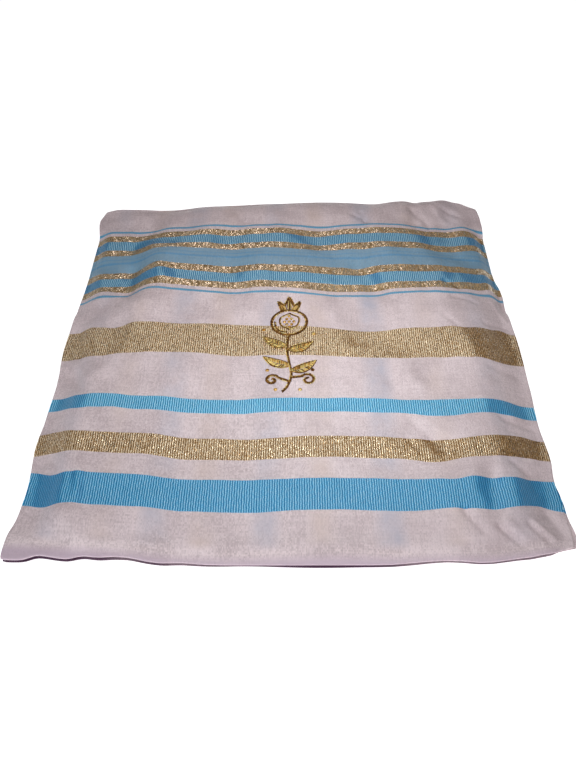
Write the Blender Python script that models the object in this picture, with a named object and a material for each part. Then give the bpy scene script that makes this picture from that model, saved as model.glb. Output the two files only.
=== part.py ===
"""A tallit prayer shawl, folded flat into a packet and lying on a table.

Metres, +Z up. The origin is the middle of the packet's flat underside, with the front fold at -Y.
The outer layer is one wall of cloth, draped over the stack of hidden layers and down towards the table.
The hidden layers are one rounded solid that fills the outer layer, and their folded edges show in its rim.
"""

import math

import bmesh
import bpy
from mathutils import Vector

# Driving dimensions
WIDTH = 0.2785  # left fold to right selvedges
DEPTH = 0.2965  # front fold to back fold
CLOTH = 0.0014  # wall of the outer layer
GAP = 0.0003  # between the outer layer and the layers inside it
LIP = 0.55  # how far a folded edge bulges out, as a share of its layer's height
GROOVE = 0.30  # how far the line between two folded edges is drawn in, as the same share

# The grid of points that every layer shares, closer together towards the edges
ACROSS_CELLS = 36
ALONG_CELLS = 38
CROWDING = 0.055

# How far each edge of the packet stands out from (+) or in from (-) its straight line
# Columns: share of the way along the edge, distance
LEFT_EDGE = ((0.00, 0.0004), (0.04, 0.0004), (0.09, -0.0024), (0.14, -0.0032), (0.24, -0.0012),
             (0.30, -0.0026), (0.40, -0.0032), (0.50, -0.0013), (0.62, -0.0020), (0.74, -0.0034),
             (0.90, -0.0033), (0.96, -0.0012), (1.00, -0.0040))
RIGHT_EDGE = ((0.00, 0.0), (0.03, 0.0006), (0.06, -0.0002), (0.10, 0.0006), (0.14, -0.0008), (0.19, 0.0006),
              (0.28, -0.0007), (0.38, 0.0005), (0.50, 0.0008), (0.62, -0.0004), (0.68, 0.0003),
              (0.76, -0.0028), (0.96, -0.0027), (1.00, -0.0036))
FRONT_EDGE = ((0.00, -0.0027), (0.045, -0.0026), (0.075, -0.0041), (0.12, -0.0024), (0.20, -0.0036),
              (0.29, -0.0007), (0.40, 0.0001), (0.66, 0.0), (0.78, -0.0024), (0.84, -0.0013),
              (0.92, -0.0039), (0.95, -0.0051), (1.00, -0.0088))
BACK_EDGE = ((0.00, -0.0105), (0.03, -0.0072), (0.12, -0.0078), (0.20, -0.0062), (0.29, -0.0040),
             (0.45, -0.0012), (0.57, 0.0005), (0.75, -0.0010), (0.80, -0.0002), (0.87, -0.0014),
             (0.92, -0.0003), (0.96, -0.0032), (1.00, -0.0098))

# The packet from front to back. Columns: y, height of the level top, height of the outer layer's rim,
# width of the slope down to the left edge, width of the slope down to the right edge
SECTIONS = ((-0.149, 0.0088, 0.0030, 0.023, 0.032), (-0.100, 0.0108, 0.0032, 0.024, 0.030),
            (-0.040, 0.0124, 0.0036, 0.024, 0.028), (0.010, 0.0132, 0.0044, 0.034, 0.028),
            (0.050, 0.0134, 0.0052, 0.048, 0.036), (0.100, 0.0128, 0.0068, 0.050, 0.046),
            (0.149, 0.0120, 0.0086, 0.048, 0.042))
FRONT_FLAP = 0.0025  # the outer layer lies almost level this far in from its front fold
FRONT_SLOPE = 0.0150
BACK_ROUND = 0.0180  # depth of the rounded back fold

# Soft ridges (+) and troughs (-) of the outer layer.
# Columns: name, x and y of one end, x and y of the other end, half width, height
FOLDS = (
    ("left crest, front", -0.1175, -0.126, -0.1185, -0.052, 0.0075, 0.0012),
    ("left crest, middle", -0.1185, -0.052, -0.1040, 0.002, 0.0080, 0.0010),
    ("left crest, back", -0.0900, 0.026, -0.0820, 0.080, 0.0115, 0.0034),
    ("left crest, turning in", -0.0780, 0.084, -0.0480, 0.120, 0.0120, 0.0014),
    ("left middle swell", -0.0940, 0.016, -0.0680, -0.034, 0.0150, 0.0020),
    ("left back hollow", -0.1080, 0.070, -0.1010, 0.126, 0.0110, -0.0014),
    ("left front dent", -0.1280, -0.116, -0.1140, -0.133, 0.0080, -0.0012),
    ("back middle crest", -0.0230, 0.056, -0.0150, 0.126, 0.0125, 0.0019),
    ("back middle trough", 0.0470, 0.034, 0.0240, 0.092, 0.0130, -0.0026),
    ("back middle trough, far end", 0.0230, 0.096, 0.0190, 0.128, 0.0100, -0.0018),
    ("back right crest", 0.0640, 0.082, 0.0560, 0.128, 0.0100, 0.0013),
    ("back right trough", 0.1120, 0.082, 0.1060, 0.130, 0.0110, -0.0022),
    ("back right corner ridge", 0.1270, 0.094, 0.1220, 0.128, 0.0055, 0.0011),
    ("right middle trough", 0.0440, 0.012, 0.0820, -0.026, 0.0125, -0.0021),
    ("right middle crest", 0.0980, 0.020, 0.1080, -0.014, 0.0080, 0.0015),
    ("right side pleat", 0.1180, -0.030, 0.1330, -0.044, 0.0050, -0.0012),
    ("right diagonal crease", 0.0660, -0.066, 0.0860, -0.083, 0.0042, -0.0014),
    ("right diagonal ridge", 0.0700, -0.058, 0.0960, -0.076, 0.0055, 0.0008),
    ("front right crease, inner", 0.0860, -0.131, 0.0980, -0.142, 0.0038, -0.0012),
    ("front right crease, outer", 0.1040, -0.132, 0.1160, -0.143, 0.0040, -0.0014),
    ("front right corner ridge", 0.1120, -0.124, 0.1280, -0.138, 0.0050, 0.0014),
    ("front right swell", 0.0820, -0.112, 0.1050, -0.126, 0.0120, 0.0010),
)
FOLD_FADE = 0.012  # folds die away over this distance from the packet's edge

# Where the front fold lifts clear of the table in small scallops. Columns: x, half width, height
SCALLOPS = ((-0.118, 0.0080, 0.0016), (-0.090, 0.0110, 0.0012), (0.127, 0.0090, 0.0018))

# The hidden layers whose folded edges show, from the table up.
# Columns: name, how far each edge is set back at the front, right, back and left
HIDDEN_EDGES = (
    ("lowest layer", 0.0016, 0.0010, 0.0034, 0.0012),
    ("third layer", 0.0010, 0.0034, 0.0012, 0.0026),
    ("second layer", 0.0018, 0.0014, 0.0030, 0.0010),
    ("layer under the outer one", 0.0008, 0.0022, 0.0014, 0.0020),
)
CORNER_EAR = 0.0026  # the layer under the outer one sticks out at the front of the right side
EAR_REACH = 0.28  # share of the right side over which it narrows to nothing

# Colours and finish
WHITE_CLOTH = (0.66, 0.57, 0.58, 1.0)
INNER_CLOTH = (0.60, 0.52, 0.54, 1.0)
CLOTH_ROUGHNESS = 0.72


def ease(share):
    """0 to 1, level at both ends."""
    share = min(max(share, 0.0), 1.0)
    return share * share * (3.0 - 2.0 * share)


def quarter_round(share):
    """0 to 1 along a quarter circle: upright at 0 and level at 1."""
    share = min(max(share, 0.0), 1.0)
    return math.sqrt(1.0 - (1.0 - share) ** 2)


def along_table(table, at, column=1):
    """A column of a table read at a value of its first column, eased between its rows."""
    if at <= table[0][0]:
        return table[0][column]
    for before, after in zip(table, table[1:]):
        if at <= after[0]:
            share = ease((at - before[0]) / (after[0] - before[0]))
            return before[column] + share * (after[column] - before[column])
    return table[-1][column]


def stations(cells):
    """Shares from 0 to 1, closer together near the ends."""
    shares = [i / cells for i in range(cells + 1)]
    return [s - CROWDING * math.sin(2.0 * math.pi * s) for s in shares]


def edges_at(across, along):
    """x of the left and right edges, and y of the front and back edges, at a place on the packet."""
    left = -WIDTH / 2 - along_table(LEFT_EDGE, along)
    right = WIDTH / 2 + along_table(RIGHT_EDGE, along)
    front = -DEPTH / 2 - along_table(FRONT_EDGE, across)
    back = DEPTH / 2 + along_table(BACK_EDGE, across)
    return left, right, front, back


def fold_height(x, y):
    """The ridges and troughs at a place, each one a soft bank along its own line."""
    place = Vector((x, y))
    total = 0.0
    for _, x0, y0, x1, y1, half_width, height in FOLDS:
        start = Vector((x0, y0))
        line = Vector((x1, y1)) - start
        share = min(max((place - start).dot(line) / line.length_squared, 0.0), 1.0)
        away = (place - start - share * line).length
        total += height * math.exp(-((away / half_width) ** 2))
    return total


def surface_point(across, along):
    """A point on the upper face of the outer layer."""
    left, right, front, back = edges_at(across, along)
    x = left + across * (right - left)
    y = front + along * (back - front)
    from_left, from_right = x - left, right - x
    from_front, from_back = y - front, back - y
    top, rim, left_slope, right_slope = (along_table(SECTIONS, y, column) for column in (1, 2, 3, 4))
    nearness = max(0.0, 1.0 - from_front / 0.02)
    for middle, half_width, height in SCALLOPS:
        rim += height * nearness * math.exp(-(((x - middle) / half_width) ** 2))
    rise = ease(from_left / left_slope) * ease(from_right / right_slope)
    rise *= ease((from_front - FRONT_FLAP) / FRONT_SLOPE) * quarter_round(from_back / BACK_ROUND)
    fade = ease(min(from_left, from_right, from_front, from_back) / FOLD_FADE)
    return Vector((x, y, rim + (top - rim) * rise + fade * fold_height(x, y)))


def surface_grid():
    """Rows of points of the outer layer's upper face, from front to back."""
    across_shares, along_shares = stations(ACROSS_CELLS), stations(ALONG_CELLS)
    return [[surface_point(across, along) for across in across_shares] for along in along_shares]


def normals_of(grid):
    """The upward direction square to the surface at each point of a grid."""
    last_row, last_column = len(grid) - 1, len(grid[0]) - 1
    normals = []
    for j in range(last_row + 1):
        row = []
        for i in range(last_column + 1):
            sideways = grid[j][min(i + 1, last_column)] - grid[j][max(i - 1, 0)]
            backwards = grid[min(j + 1, last_row)][i] - grid[max(j - 1, 0)][i]
            row.append(sideways.cross(backwards).normalized())
        normals.append(row)
    return normals


def sunk(grid, normals, depth):
    """The grid moved down into the packet. Points on the rim move straight down."""
    last_row, last_column = len(grid) - 1, len(grid[0]) - 1
    rows = []
    for j, row in enumerate(grid):
        moved = []
        for i, point in enumerate(row):
            on_rim = j in (0, last_row) or i in (0, last_column)
            down = Vector((0.0, 0.0, 1.0)) if on_rim else normals[j][i]
            moved.append(point - depth * down)
        rows.append(moved)
    return rows


def rim_places():
    """(row, column, outward direction, side) of each rim point, in order round the packet."""
    last_row, last_column = ALONG_CELLS, ACROSS_CELLS
    places = [(0, i, (0, -1), "front") for i in range(last_column)]
    places += [(j, last_column, (1, 0), "right") for j in range(last_row)]
    places += [(last_row, i, (0, 1), "back") for i in range(last_column, 0, -1)]
    places += [(j, 0, (-1, 0), "left") for j in range(last_row, 0, -1)]
    rounded = []
    for k, (row, column, _, side) in enumerate(places):
        before, after = places[k - 1][2], places[k][2]
        rounded.append((row, column, (Vector(before) + Vector(after)).normalized().to_3d(), side))
    return rounded


def skin(bm, points):
    """The faces of a grid of points, and its vertices."""
    verts = [[bm.verts.new(point) for point in row] for row in points]
    for j in range(len(points) - 1):
        for i in range(len(points[0]) - 1):
            a, b = verts[j][i], verts[j][i + 1]
            c, d = verts[j + 1][i + 1], verts[j + 1][i]
            bm.faces.new((a, b, c))
            bm.faces.new((a, c, d))
    return verts


def join_loops(bm, upper, lower):
    """The strip of faces between two closed loops of vertices."""
    count = len(upper)
    for k in range(count):
        following = (k + 1) % count
        bm.faces.new((upper[k], lower[k], lower[following], upper[following]))


def finish_solid(name, bm, material):
    """The object of a closed mesh, with its faces pointing out."""
    bmesh.ops.recalc_face_normals(bm, faces=bm.faces)
    mesh = bpy.data.meshes.new(name)
    bm.to_mesh(mesh)
    bm.free()
    mesh.shade_smooth()
    mesh.materials.append(material)
    solid = bpy.data.objects.new(name, mesh)
    bpy.context.scene.collection.objects.link(solid)
    return solid


def cloth_material(name, colour):
    material = bpy.data.materials.new(name)
    material.use_nodes = True
    shader = material.node_tree.nodes["Principled BSDF"]
    shader.inputs["Base Color"].default_value = colour
    shader.inputs["Roughness"].default_value = CLOTH_ROUGHNESS
    shader.inputs["Metallic"].default_value = 0.0
    return material


def outer_layer(grid, normals, material):
    """The wall of cloth that shows: its two faces, and the rounded edge between them."""
    bm = bmesh.new()
    upper = skin(bm, grid)
    lower = skin(bm, sunk(grid, normals, CLOTH))
    places = rim_places()
    middle = []
    for row, column, outward, _ in places:
        halfway = grid[row][column] - Vector((0.0, 0.0, CLOTH / 2))
        middle.append(bm.verts.new(halfway + LIP * CLOTH * outward))
    join_loops(bm, [upper[row][column] for row, column, _, _ in places], middle)
    join_loops(bm, middle, [lower[row][column] for row, column, _, _ in places])
    return finish_solid("outer_layer", bm, material)


def setback(layer, side, along):
    """How far in from the packet's edge a hidden layer's folded edge lies."""
    _, front, right, back, left = layer
    distance = {"front": front, "right": right, "back": back, "left": left}[side]
    if layer is HIDDEN_EDGES[-1] and side == "right":
        distance -= (CORNER_EAR + right) * ease(1.0 - along / EAR_REACH)
    return distance


def hidden_layers(grid, normals, material):
    """The stack inside the outer layer. Its rim is a folded edge for each layer that shows, with a groove
    between one and the next, and its underside is flat on the table."""
    bm = bmesh.new()
    upper_points = sunk(grid, normals, CLOTH + GAP)
    upper = skin(bm, upper_points)
    places = rim_places()
    layer_count = len(HIDDEN_EDGES)
    above = [upper[row][column] for row, column, _, _ in places]
    for number in range(layer_count - 1, -1, -1):
        layer = HIDDEN_EDGES[number]
        lip, foot = [], []
        for row, column, outward, side in places:
            corner = upper_points[row][column]
            height = corner.z / layer_count
            inward = setback(layer, side, row / ALONG_CELLS)
            out_to = corner - inward * outward
            lip_out = LIP * height * outward
            lip.append(bm.verts.new(Vector((out_to.x, out_to.y, (number + 0.5) * height)) + lip_out))
            drawn_in = GROOVE * height * outward
            foot.append(bm.verts.new(Vector((out_to.x, out_to.y, number * height)) - drawn_in))
        join_loops(bm, above, lip)
        join_loops(bm, lip, foot)
        above = foot
    bm.faces.new(above)
    return finish_solid("hidden_layers", bm, material)


def main():
    for obj in list(bpy.data.objects):
        bpy.data.objects.remove(obj)
    grid = surface_grid()
    normals = normals_of(grid)
    outer_layer(grid, normals, cloth_material("white_cloth", WHITE_CLOTH))
    hidden_layers(grid, normals, cloth_material("inner_cloth", INNER_CLOTH))


main()
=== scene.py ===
"""The looks of a tallit prayer shawl that is folded flat into a packet and lies on a pale table.

Metres, +Z up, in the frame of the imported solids. The outer layer is one sheet with a folded edge all
round, and four hidden layers lie under it. Their outline, slopes and deepest troughs come from the solids.
The other folds and creases, the woven bands and the gold stitching are made here.
"""

import math
import random
from functools import reduce

import bmesh
import bpy
import numpy as np
from mathutils import Matrix, Vector, noise
from mathutils.bvhtree import BVHTree


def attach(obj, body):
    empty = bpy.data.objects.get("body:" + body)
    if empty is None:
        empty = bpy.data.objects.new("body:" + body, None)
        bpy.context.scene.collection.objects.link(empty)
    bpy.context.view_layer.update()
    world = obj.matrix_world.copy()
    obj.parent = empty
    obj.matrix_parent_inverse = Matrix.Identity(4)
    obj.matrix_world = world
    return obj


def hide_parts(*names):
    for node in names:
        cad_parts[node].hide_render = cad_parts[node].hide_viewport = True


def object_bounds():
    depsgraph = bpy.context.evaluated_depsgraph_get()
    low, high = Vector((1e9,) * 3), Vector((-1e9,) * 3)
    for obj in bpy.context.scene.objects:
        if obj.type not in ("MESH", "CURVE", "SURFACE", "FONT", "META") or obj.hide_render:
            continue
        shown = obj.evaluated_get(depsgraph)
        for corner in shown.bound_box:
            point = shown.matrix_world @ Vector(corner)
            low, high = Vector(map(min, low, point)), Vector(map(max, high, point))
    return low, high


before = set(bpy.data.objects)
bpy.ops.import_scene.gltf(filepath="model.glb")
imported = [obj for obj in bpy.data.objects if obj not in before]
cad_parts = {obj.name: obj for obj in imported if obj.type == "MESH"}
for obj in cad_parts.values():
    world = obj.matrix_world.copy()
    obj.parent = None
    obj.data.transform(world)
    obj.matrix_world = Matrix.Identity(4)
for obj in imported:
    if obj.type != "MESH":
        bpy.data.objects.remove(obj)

cad_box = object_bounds()

MM = 0.001

# ---------------- sizes of the cloth

ACROSS_CELLS, ALONG_CELLS = 272, 288  # of the outer layer's upper face, about 1 mm each
HIDDEN_COARSER = 2  # a hidden layer's cells are this much longer
UNDERSIDE_COARSER = 4  # a sheet's lower face has cells this much longer
UNDERSIDE_INSET = 0.012  # share of the sheet between its edge and those cells
MERGE = 1e-5
HEADROOM = 0.01  # above the solid, from where its height is read
OUTLINE_SOFTENING = 3  # passes that round the outline's facets and corners
FORM_SOFTENING = 13  # passes that round the facets of the solid's upper face

OUTER_THICKNESS = 1.25 * MM  # of the folded edge that shows
LAYER_GAP = 0.12 * MM
LIP = 0.55  # how far a folded edge bulges out, as a share of its thickness
EDGE_ROWS = 6  # rows of faces round a folded edge
SETBACK_FADE = 18 * MM  # a layer's setback at its edge dies away over this distance

# The hidden layers, from the table up. Columns: name, how many millimetres its edge is set back at the
# front, right, back and left, and the share of the stack's height up to its upper face
HIDDEN_LAYERS = (
    ("lowest_layer", (0.1, 0.9, 2.6, 0.9), 0.40),
    ("third_layer", (1.2, 2.6, 0.9, 2.0), 0.61),
    ("second_layer", (1.5, 1.1, 2.2, 0.8), 0.80),
    ("layer_under_outer", (0.9, 1.7, 1.1, 1.5), 1.00),
)
SETBACK_WAVE = 0.8 * MM  # a hidden layer's edge wanders in and out by this much
SETBACK_WAVELENGTH = 38 * MM
SETBACK_SEEDS = (5, 11.3)  # the lowest layer's place in the noise, and the step from layer to layer
CORNER_EAR = 2.4 * MM  # the layer under the outer one sticks out at the front of the right side
EAR_REACH = 80 * MM

# Broad folds of the whole packet, as soft ridges (+) and troughs (-), in millimetres.
# Columns: x and y of one end, x and y of the other end, half width, height
BROAD_FOLDS = (
    # along the back edge
    (-120, 150, 60, 150, 11, -1.2), (-96, 122, -84, 150, 13, -1.6), (50, 130, 62, 150, 12, -1),
    (88, 118, 92, 150, 4.5, -1.3), (104, 126, 112, 148, 6, 0.9),
    # rounded sides at the back
    (-138.5, 34, -137.5, 108, 5.5, -4), (139.5, 34, 136.5, 108, 4.6, -5.2),
    # left of the back, with its long trough and the crest beside it
    (-104, 44, -105, 66, 7, -2.7), (-105, 66, -110, 92, 7, -0.9), (-108, 96, -98, 112, 7, -1.1),
    (-84, 56, -95, 90, 5.5, 1.3), (-125, 40, -126, 62, 6.5, 2.2), (-128, 82, -129, 122, 6, 1.3),
    (-79, 84, -82, 104, 5, -0.5), (-74, 30, -66, 72, 9, 0.6),
    # middle of the back
    (-36, 44, -42, 108, 10, -1.3), (-22, 86, -17, 112, 7, -1.1), (12, 102, 27, 112, 9, -1.4),
    (6, 30, 26, 36, 9, -0.8), (57, 42, 46, 68, 7, -1.7), (46, 68, 52, 96, 7, -0.7),
    # right of the back
    (99, 86, 95, 108, 7, -1.4), (119, 86, 120, 112, 7.5, 2.1), (128, 68, 132, 52, 6, 1),
    (106, 68, 110, 44, 6, -0.8), (98, 54, 96, 40, 6, 0.8),
    # left side
    (-107, 12, -111, -18, 7, -2.4), (-125, 14, -126, 2, 5.5, 1.7), (-117, -44, -118, -60, 5.5, -0.9),
    (-101, -44, -98, -60, 8, 0.8), (-132, -72, -129, -82, 5, 0.9),
    # left front corner
    (-138, -92, -138, -122, 15, -3.2), (-122, -96, -122, -116, 4, -0.5),
    (-109, -97, -108.5, -120, 3.5, 0.9), (-131, -126, -120, -138, 6, -2.2),
    (-112, -124, -104, -138, 6, 1.2),
    # right side
    (101, 8, 105, -14, 8, 0.8), (140, -34, 140, -64, 12, -1.2), (113, -44, 119, -62, 6, -1),
    (131, -72, 131, -88, 5, 0.8), (145, -110, 145, 60, 22, -1.9),
    # right front corner
    (105, -101, 104, -122, 5.5, -1.3), (96, -98, 95, -120, 5, 0.4), (117, -98, 117, -120, 5, 1),
    (133, -98, 133, -118, 8, -1.9),
    # middle
    (70, -26, 74, -42, 6, 1.2), (57, -28, 60, -42, 4, -0.4), (-58, -8, -66, -36, 9, 0.7),
    (-28, -70, -20, -92, 12, -0.7),
    # crest along the front fold, and the dip behind it
    (-104, -138, -60, -141.5, 4, 1.3), (-60, -141.5, 84, -142, 4, 1.8), (-92, -132, 80, -133, 6, -1.1),
)

# Fine creases, with the same columns
FINE_CREASES = (
    # right front corner
    (88, -123, 96, -133, 2.2, -1.3), (83, -130, 92, -138, 3, 0.7), (104, -131, 113.5, -139, 1.6, -1.6),
    (108.5, -129.5, 118, -137.5, 2.2, 0.9), (119, -129, 127.5, -137.5, 1.6, -1),
    (122.5, -128, 131.5, -136, 1.7, 1.2), (131, -122, 136, -132, 3, -1.4),
    (111.5, -92, 110, -102, 2.6, 0.5), (118, -92, 126, -97, 2.6, -1), (124, -97, 127, -108, 3, -0.6),
    # right side
    (104, 36, 118, 33, 2.2, -0.7), (122, 14, 134, 16, 2.2, -0.9), (66, -64.5, 78, -79, 2.8, -0.4),
    (70, -62, 84, -74, 2.6, 0.3), (63, -76, 72, -91, 2.2, -0.4), (119, -61.5, 137, -66, 2.8, -1.3),
    (120, -70.5, 136, -71.5, 2.2, -0.9), (118, -24, 134, -25.5, 2.6, -1), (131, 38, 137, 22, 2, 0.9),
    (96, 17, 102, 8, 2, -0.5), (101, 51, 109, 47, 2, -0.9),
    # back margin
    (88, 136, 98.5, 115, 3, -0.8), (45, 128, 53.5, 118, 2.6, -0.6), (51, 130, 54, 118, 2.2, -0.7),
    (112, 136, 121, 128, 2.6, -0.6), (104, 139, 111, 121, 2.6, 0.5), (-84, 118, -88, 138, 3.2, 0.6),
    (-40, 130, -33, 118, 3, -0.5),
    # left side
    (-133, -20, -120, -40, 2.6, -1.3), (-129, -16, -117, -34, 2.6, 1), (-131, 10, -127, -12, 2, -0.9),
    (-101, 14, -103, -10, 3.4, -0.7), (-136, -89, -123, -98, 2.2, 1.1), (-134, -86, -126, -94, 2, 0.8),
    (-113, -99, -109, -120, 3, -0.6), (-128, -130, -110, -139.5, 3, -0.8),
    # along the front fold
    (-98, -142, -62, -139, 3, 0.5), (-40, -140, 34, -139.5, 3.2, 0.45), (50, -139, 82, -140.5, 3, 0.5),
    # middle
    (-62, -62, -48, -70, 4.5, -0.4), (20, -88, 34, -96, 4.5, 0.4),
)
CREASE_FADE = 4 * MM  # the fine creases die away at the packet's edges over this distance
CREASE_START = 0.25  # where in that fade the edge itself lies
FULL_HEIGHT = 9 * MM  # folds have their whole height where the packet is this thick
LEAST_HEIGHT = 0.3  # and at least this share of it where the packet is thinner
PAINTED_SHADE_START = 0.09  # slope at which the painted shade of slopes turned from the lamps starts, and a woven band's painted shine starts to fade
PAINTED_SHADE_RANGE = 0.20

# Low unevenness all over, in millimetres. Columns: length across, length along, height
UNEVENNESS = ((34, 26, 0.75), (15, 12, 0.52), (7, 8, 0.2))
UNEVENNESS_STEP = 3.7  # from one row's place in the noise to the next one's

# How far the woven bands lie from straight, in millimetres: + is towards the back fold.
# Columns: place of the band, and its drift at each of these x
BAND_DRIFT_X = (-135, -105, -75, -55, -25, 5, 25, 55, 75, 100, 130)
BAND_DRIFT = (
    (-114, 7.5, 4.6, 2.7, -0.1, -1.0, 0.3, 0.8, -0.2, 0.5, 0.8, 4.0),
    (-84, 7.0, 4.3, 3.2, -0.9, -1.1, 0.7, 0.8, -0.5, -1.2, 0.7, 3.7),
    (-55, 8.0, 3.2, 1.9, -0.1, -0.8, 0.8, 0.8, -0.5, -1.8, -0.4, 1.2),
    (-4, 3.4, 1.4, 1.4, 2.3, 0.6, 0.3, -1.3, -2.1, -1.2, -2.8, -0.7),
    (56, -0.6, 0.5, 2.3, 0.2, -0.5, -0.4, -1.8, -0.8, 0.0, -0.8, 3.8),
    (77, -2.2, 0.2, -0.4, 0.8, -0.1, 0.9, 0.5, -0.4, 0.5, -0.6, 2.3),
    (98, -2.4, -1.5, -2.2, -0.7, -0.5, 0.6, 1.2, 0.1, -0.1, -1.2, -0.6),
)
DRIFT_SOFTENING = 20  # passes that smooth it

# Places where the bands are pulled out of line over a short way, in millimetres.
# Columns: x, y, reach across, reach along, pull towards the back fold
BAND_PULLS = (
    # back stripes
    (20, 41, 20, 6, -1.3), (131, 52, 5, 9, 1.9), (131, 68, 5, 9, 1.4), (131, 98, 5, 9, 1.4),
    (-122, 47, 8, 5, 2), (-120, 64, 8, 5, -1.2), (127, 90, 7, 5, 1.8), (-71, 106, 9, 8, -1.5),
    (-108, 106, 6, 8, -1.5), (107, 106, 12, 8, 1.3),
    # wide gold band, far edge
    (44, 9, 38, 9, -1.9), (-124, 9, 6, 7, 1.4), (-108, 9, 6, 7, -1.2), (107, 9, 6, 7, -2.3),
    (131, 9, 5, 7, 2.6),
    # wide gold band, near edge
    (-31, -17, 12, 6, -1.1), (82, -17, 9, 6, 1), (106, -17, 5, 6, -1.4), (123, -17, 12, 7, -2.6),
    # narrow blue band
    (-118, -53, 6, 9, -1.3), (-98, -53, 10, 9, 1.1), (-40, -50, 28, 7, -0.8), (86, -61, 13, 6, -2.2),
    (119, -55, 8, 8, 1.1),
    # front gold band
    (-132, -77, 6, 7, 1.2), (-116, -77, 6, 7, -1.2), (-14, -77, 22, 7, -0.8), (92, -77, 12, 7, -1),
    (127, -77, 7, 7, 1.8), (77, -92, 10, 7, -2.8), (-138, -98, 9, 9, 3.4),
    # wide blue band
    (86, -105, 8, 5, -1.7), (-124, -103, 7, 6, -2), (94, -103, 10, 6, 1), (114, -104, 12, 7, -0.8),
    (-138, -117, 9, 9, 1), (-122, -119, 10, 7, -1.4), (127, -118, 8, 7, 2.3), (82, -122, 12, 7, 1),
)
# Places where the front edge is drawn in, in millimetres. Columns: x, reach, distance
FRONT_NOTCHES = ((-123, 4, 1.2), (-100, 6, 1.6), (-78, 10, 0.6), (-52, 8, 0.5))

# ---------------- bands woven across the cloth, in millimetres

# Columns: place of the middle, width. BLUE_BANDS, with its colours, is below
FINE_BLUE_LINES = ((40.4, 1.9), (113.4, 1.9))
PALE_GOLD_BANDS = ((-84.2, 13.9), (-4.0, 25.4))
BRIGHT_GOLD_BANDS = ((47.8, 6.4), (64.2, 7.0), (89.8, 6.8), (106.2, 6.4))
SATIN_BAND = (77.0, 20.0)
SATIN_LINES = ((77.4, 2.0), (81.6, 0.6))

# Bands of the turned layers that show through the ground. Columns: x, width, share
BLUE_SHADOWS = ((-121, 11, 0.3), (-66, 13, 0.6), (-11, 12, 0.6), (51, 13, 0.85), (116, 13, 0.3))
BROWN_SHADOWS = ((-42, 12, 0.6), (17, 12, 0.6), (84, 10, 0.4), (-93, 10, 0.4))
SHADOWS_END = -143  # the turned layers stop short of the front fold
SHADOWS_END_FADE = 4
SHADOW_SOFTNESS = 7.0
VEIL_AND_PAINTED_SHADE = 0.3  # how far the ground behind the front fold is dulled: partly the turned layers showing through, partly a painted shade that leaves the front fold lighter as a painted highlight
FRONT_SHADE = (-153.5, 13.5, 5.0)  # place, width and softness of the shade along the front edge

RIB_PITCH = 1.27
RIB_STRAY = 0.9  # how far the ribs wander
THREAD_PITCH = 0.30
PALE_FLOAT = 0.9  # length of a float of pale gold thread
BRIGHT_FLOAT = (1.1, 3.0)  # width and length of a float of old gold thread
STREAK_SCALES = ((1.1, 0.06), (0.05, 0.9))  # of the uneven threads each way, across and along
BAND_SOFTNESS = 0.22
BAND_COMB = 0.22  # the ribs draw a band's edge in and out by this much
WEAVE_DEPTH = 0.22 * MM
BUMP_STRENGTH = 0.6
GROUND_LEAN = 0.24  # how far the floats of the weave are turned at random
STRAND_DEPTH, STRAND_STRENGTH = 0.08 * MM, 0.5  # of the embroidery thread's twist


def srgb(red, green, blue):
    """A colour given in steps of 0 to 255, as the shader takes it."""
    def linear(step):
        share = step / 255
        return share / 12.92 if share <= 0.04045 else ((share + 0.055) / 1.055) ** 2.4
    return (linear(red), linear(green), linear(blue), 1.0)


GROUND = srgb(251, 235, 238)
GROUND_SHADE = srgb(209, 192, 195)
# painted shade of the blue bands, between their ribs and on slopes turned from the lamps
BLUE_PAINTED_SHADE = srgb(20, 110, 166)
LINE_BLUE = srgb(98, 168, 204)
# painted highlights along the blue ribs
BLUE_PAINTED_HIGHLIGHT = srgb(196, 234, 246)
SATIN_BLUE = srgb(141, 174, 195)
SATIN_BLUE_DEEP = srgb(86, 154, 200)
# dulled ground behind the front fold, partly show-through and partly painted shade
VEILED_AND_PAINTED_SHADE = srgb(208, 192, 196)
BLUE_SHADOW = srgb(190, 190, 206)
BROWN_SHADOW = srgb(222, 200, 190)
LILAC_SHADE = srgb(220, 200, 214)
PLUM_SHADE = srgb(84, 52, 78)
GOLD_DARK = srgb(138, 103, 60)
GOLD = srgb(226, 184, 128)
# light gold of the metal flecks, which also serves as painted glints
LIGHT_GOLD_AND_PAINTED_GLINT = srgb(255, 239, 208)
OLD_GOLD_DARK = srgb(148, 119, 80)
OLD_GOLD = srgb(206, 176, 132)
# the thread's painted shade, its gold, and a light gold that also serves as painted highlight
THREAD_PAINTED_SHADE = srgb(76, 38, 10)
THREAD_GOLD = srgb(226, 168, 78)
THREAD_LIGHT_AND_PAINTED_HIGHLIGHT = srgb(255, 238, 158)
# Columns: place of the middle, width, colour, share of the painted highlight strokes
BLUE_BANDS = (
    (-113.8, 19.0, srgb(62, 182, 234), 0.75),
    (-55.4, 10.2, srgb(100, 206, 248), 0.85),
    (55.9, 9.9, srgb(116, 178, 206), 0.85),
    (98.1, 9.9, srgb(116, 178, 206), 0.85),
)

# ---------------- view and light

CAMERA_PLACE = (0.0058, -0.32885, 0.3252)
CAMERA_TURN, CAMERA_DOWN, CAMERA_ROLL = 1.22, 47.23, -1.07  # degrees
LENS, SENSOR = 35, 36

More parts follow.
